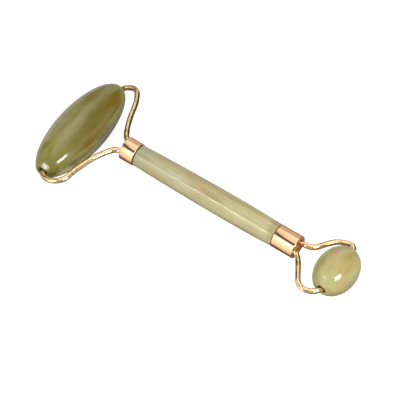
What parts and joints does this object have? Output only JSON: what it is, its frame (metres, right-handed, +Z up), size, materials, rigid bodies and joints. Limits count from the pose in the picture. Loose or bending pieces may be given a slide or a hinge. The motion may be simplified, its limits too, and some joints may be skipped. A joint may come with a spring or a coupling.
{
  "type": "jade face roller",
  "caption": "Double-ended jade face roller: turned jade handle, plated ferrules, bent wire forks, one long and one short jade roller that spin freely.",
  "frame": {"origin": "on the resting plane, under the middle of the object's outline", "axes": "+X from the long roller's end to the short roller's end, rollers' axes along Y, +Z up"},
  "size_m": [0.1408, 0.0603, 0.0204],
  "materials": {
    "handle_jade": "polished",
    "large_roller_jade": "polished",
    "small_roller_jade": "polished",
    "rose_gold": "polished rose-gold plating",
    "raw_brass": "unplated, turned",
    "bush_plastic": "moulded, dark brown"
  },
  "bodies": {
    "frame": {"handle": "handle_jade", "large_ferrule": "rose_gold", "small_ferrule": "rose_gold", "large_anchor_pin": "raw_brass", "small_anchor_pin": "raw_brass", "large_arm_far": "rose_gold", "large_arm_near": "rose_gold", "small_arm_far": "rose_gold", "small_arm_near": "rose_gold"},
    "large_roller": {"large_roller_stone": "large_roller_jade", "large_bush_far": "bush_plastic", "large_bush_near": "bush_plastic"},
    "small_roller": {"small_roller_stone": "small_roller_jade", "small_bush_far": "bush_plastic", "small_bush_near": "bush_plastic"}
  },
  "joints": [
    {"name": "large_roller_spin", "type": "hinge", "parent": "frame", "child": "large_roller", "pos_m": [-0.06024, 0, 0.0102], "axis": [0, 1, 0], "continuous": true},
    {"name": "small_roller_spin", "type": "hinge", "parent": "frame", "child": "small_roller", "pos_m": [0.06194, 0, 0.0085], "axis": [0, 1, 0], "continuous": true}
  ]
}
